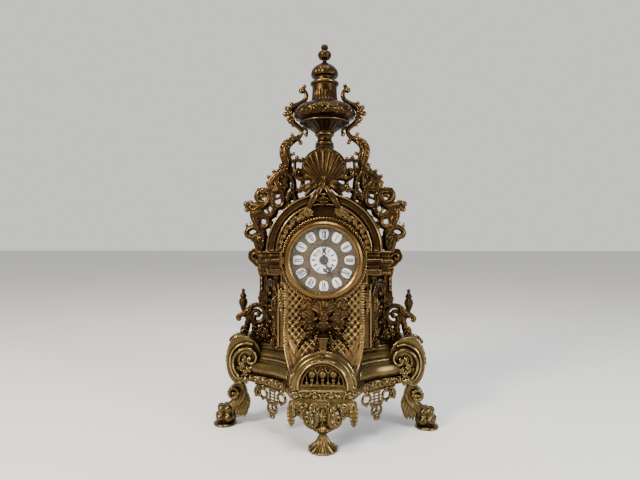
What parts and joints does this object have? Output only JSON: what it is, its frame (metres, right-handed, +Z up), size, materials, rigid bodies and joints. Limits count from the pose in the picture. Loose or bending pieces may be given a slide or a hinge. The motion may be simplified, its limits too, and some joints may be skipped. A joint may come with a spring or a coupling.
{
  "type": "mantel clock",
  "caption": "Ornate cast-brass mantel clock with urn finial, pierced scroll crests, porcelain dial, serpentine plinth and three feet, with a spring-driven movement",
  "frame": {"origin": "centre of the bounding box in X and Y, on the surface the feet stand on", "axes": "+Z up, the dial faces -Y, +X to the right of a person facing the dial"},
  "size_m": [0.345, 0.1555, 0.5804],
  "materials": {
    "aged_bronze": "cast and patinated, worn on the high points",
    "polished_brass": "cast, satin, dark in the hollows",
    "movement_brass": "machined",
    "steel": "machined",
    "black_steel": "blackened",
    "porcelain": "glazed ceramic, glossy",
    "glass": "clear"
  },
  "bodies": {
    "case": {"plinth_shell": "polished_brass", "rope_border": "polished_brass", "bay_arch": "polished_brass", "bay_grille": "aged_bronze", "apron_center": "aged_bronze", "side_aprons": "aged_bronze", "volute_left": "polished_brass", "volute_right": "polished_brass", "front_foot": "polished_brass", "paw_foot_left": "polished_brass", "paw_foot_right": "polished_brass", "waist_panel": "polished_brass", "mask_mount": "aged_bronze", "side_fret_left": "aged_bronze", "side_fret_right": "aged_bronze", "pilaster_left": "aged_bronze", "pilaster_right": "aged_bronze", "bracket_left": "aged_bronze", "bracket_right": "aged_bronze", "side_finials": "aged_bronze", "entablature_left": "aged_bronze", "entablature_right": "aged_bronze", "arch_hood": "aged_bronze", "dial_garlands": "polished_brass", "crest_fret_left": "aged_bronze", "crest_fret_right": "aged_bronze", "shell_crest": "polished_brass", "urn_body": "aged_bronze", "urn_lid": "aged_bronze", "back_plate": "aged_bronze", "bezel_seat": "polished_brass", "dial_plate": "polished_brass", "dial_cartouches": "porcelain", "dial_center_ring": "porcelain", "movement_front_plate": "movement_brass", "movement_back_plate": "movement_brass", "plate_pillars": "movement_brass", "bell": "movement_brass", "case_screws": "steel", "bezel_hinge_pin": "polished_brass"},
    "bezel": {"bezel_ring": "polished_brass", "bezel_glass": "glass"},
    "minute_hand_set": {"minute_hand": "black_steel", "cannon_pinion": "steel"},
    "hour_hand_set": {"hour_hand": "black_steel", "hour_wheel": "movement_brass"},
    "minute_wheel": {"minute_wheel": "movement_brass"},
    "center_arbor": {"center_wheel": "movement_brass"},
    "going_barrel": {"going_barrel": "movement_brass"},
    "going_winding_arbor": {"going_winding_arbor": "steel"},
    "strike_barrel": {"strike_barrel": "movement_brass"},
    "strike_winding_arbor": {"strike_winding_arbor": "steel"},
    "second_arbor": {"second_wheel": "movement_brass"},
    "third_arbor": {"third_wheel": "movement_brass"},
    "escape_arbor": {"escape_wheel": "movement_brass"},
    "anchor": {"anchor": "steel"},
    "pendulum": {"pendulum": "movement_brass"},
    "hammer": {"hammer": "steel"},
    "rear_door": {"rear_door": "polished_brass"},
    "door_latch": {"door_latch": "polished_brass"}
  },
  "joints": [
    {"name": "bezel_hinge", "type": "hinge", "parent": "case", "child": "bezel", "pos_m": [-0.061, -0.03, 0.257], "axis": [0, 0, -1], "range_deg": [0, 105]},
    {"name": "minute_spin", "type": "hinge", "parent": "case", "child": "minute_hand_set", "pos_m": [0, -0.02, 0.257], "axis": [0, 1, 0], "continuous": true},
    {"name": "hour_spin", "type": "hinge", "parent": "case", "child": "hour_hand_set", "pos_m": [0, -0.02, 0.257], "axis": [0, 1, 0], "continuous": true},
    {"name": "minute_wheel_spin", "type": "hinge", "parent": "case", "child": "minute_wheel", "pos_m": [0, -0.015, 0.2426], "axis": [0, 1, 0], "continuous": true},
    {"name": "third_spin", "type": "hinge", "parent": "case", "child": "third_arbor", "pos_m": [-0.0064, 0, 0.27459], "axis": [0, 1, 0], "continuous": true},
    {"name": "center_spin", "type": "hinge", "parent": "case", "child": "center_arbor", "pos_m": [0, 0, 0.257], "axis": [0, 1, 0], "continuous": true},
    {"name": "second_spin", "type": "hinge", "parent": "case", "child": "second_arbor", "pos_m": [0.01728, 0, 0.2649], "axis": [0, 1, 0], "continuous": true},
    {"name": "going_barrel_spin", "type": "hinge", "parent": "case", "child": "going_barrel", "pos_m": [0.025, 0, 0.2406], "axis": [0, 1, 0], "continuous": true},
    {"name": "escape_spin", "type": "hinge", "parent": "case", "child": "escape_arbor", "pos_m": [0, 0, 0.29051], "axis": [0, 1, 0], "continuous": true},
    {"name": "going_winding_spin", "type": "hinge", "parent": "case", "child": "going_winding_arbor", "pos_m": [0.025, 0, 0.2406], "axis": [0, 1, 0], "continuous": true},
    {"name": "strike_barrel_spin", "type": "hinge", "parent": "case", "child": "strike_barrel", "pos_m": [-0.025, 0, 0.2406], "axis": [0, 1, 0], "continuous": true},
    {"name": "strike_winding_spin", "type": "hinge", "parent": "case", "child": "strike_winding_arbor", "pos_m": [-0.025, 0, 0.2406], "axis": [0, 1, 0], "continuous": true},
    {"name": "pendulum_swing", "type": "hinge", "parent": "case", "child": "pendulum", "pos_m": [0, 0.025, 0.30701], "axis": [0, 1, 0], "range_deg": [-4, 4]},
    {"name": "anchor_rock", "type": "hinge", "parent": "case", "child": "anchor", "pos_m": [0, 0.005, 0.30701], "axis": [0, 1, 0], "range_deg": [-4, 4]},
    {"name": "hammer_lift", "type": "hinge", "parent": "case", "child": "hammer", "pos_m": [-0.03, 0.02, 0.217], "axis": [0, -1, 0], "range_deg": [0, 12], "stiffness_Nm_per_rad": 0.004, "springref_deg": -17.19},
    {"name": "rear_door_hinge", "type": "hinge", "parent": "case", "child": "rear_door", "pos_m": [0.05, 0.0642, 0.257], "axis": [0, 0, -1], "range_deg": [0, 110]},
    {"name": "door_latch_turn", "type": "hinge", "parent": "case", "child": "door_latch", "pos_m": [-0.0515, 0.064, 0.257], "axis": [0, 1, 0], "range_deg": [0, 90]}
  ],
  "couplings": [
    {"joint": "hour_spin", "follows": "minute_spin", "ratio": 0.083333},
    {"joint": "minute_wheel_spin", "follows": "minute_spin", "ratio": -0.33333},
    {"joint": "center_spin", "follows": "third_spin", "ratio": -0.083333},
    {"joint": "second_spin", "follows": "third_spin", "ratio": 0.015625},
    {"joint": "going_barrel_spin", "follows": "third_spin", "ratio": -0.0020833},
    {"joint": "escape_spin", "follows": "third_spin", "ratio": -12},
    {"joint": "anchor_rock", "follows": "pendulum_swing", "ratio": 1}
  ]
}
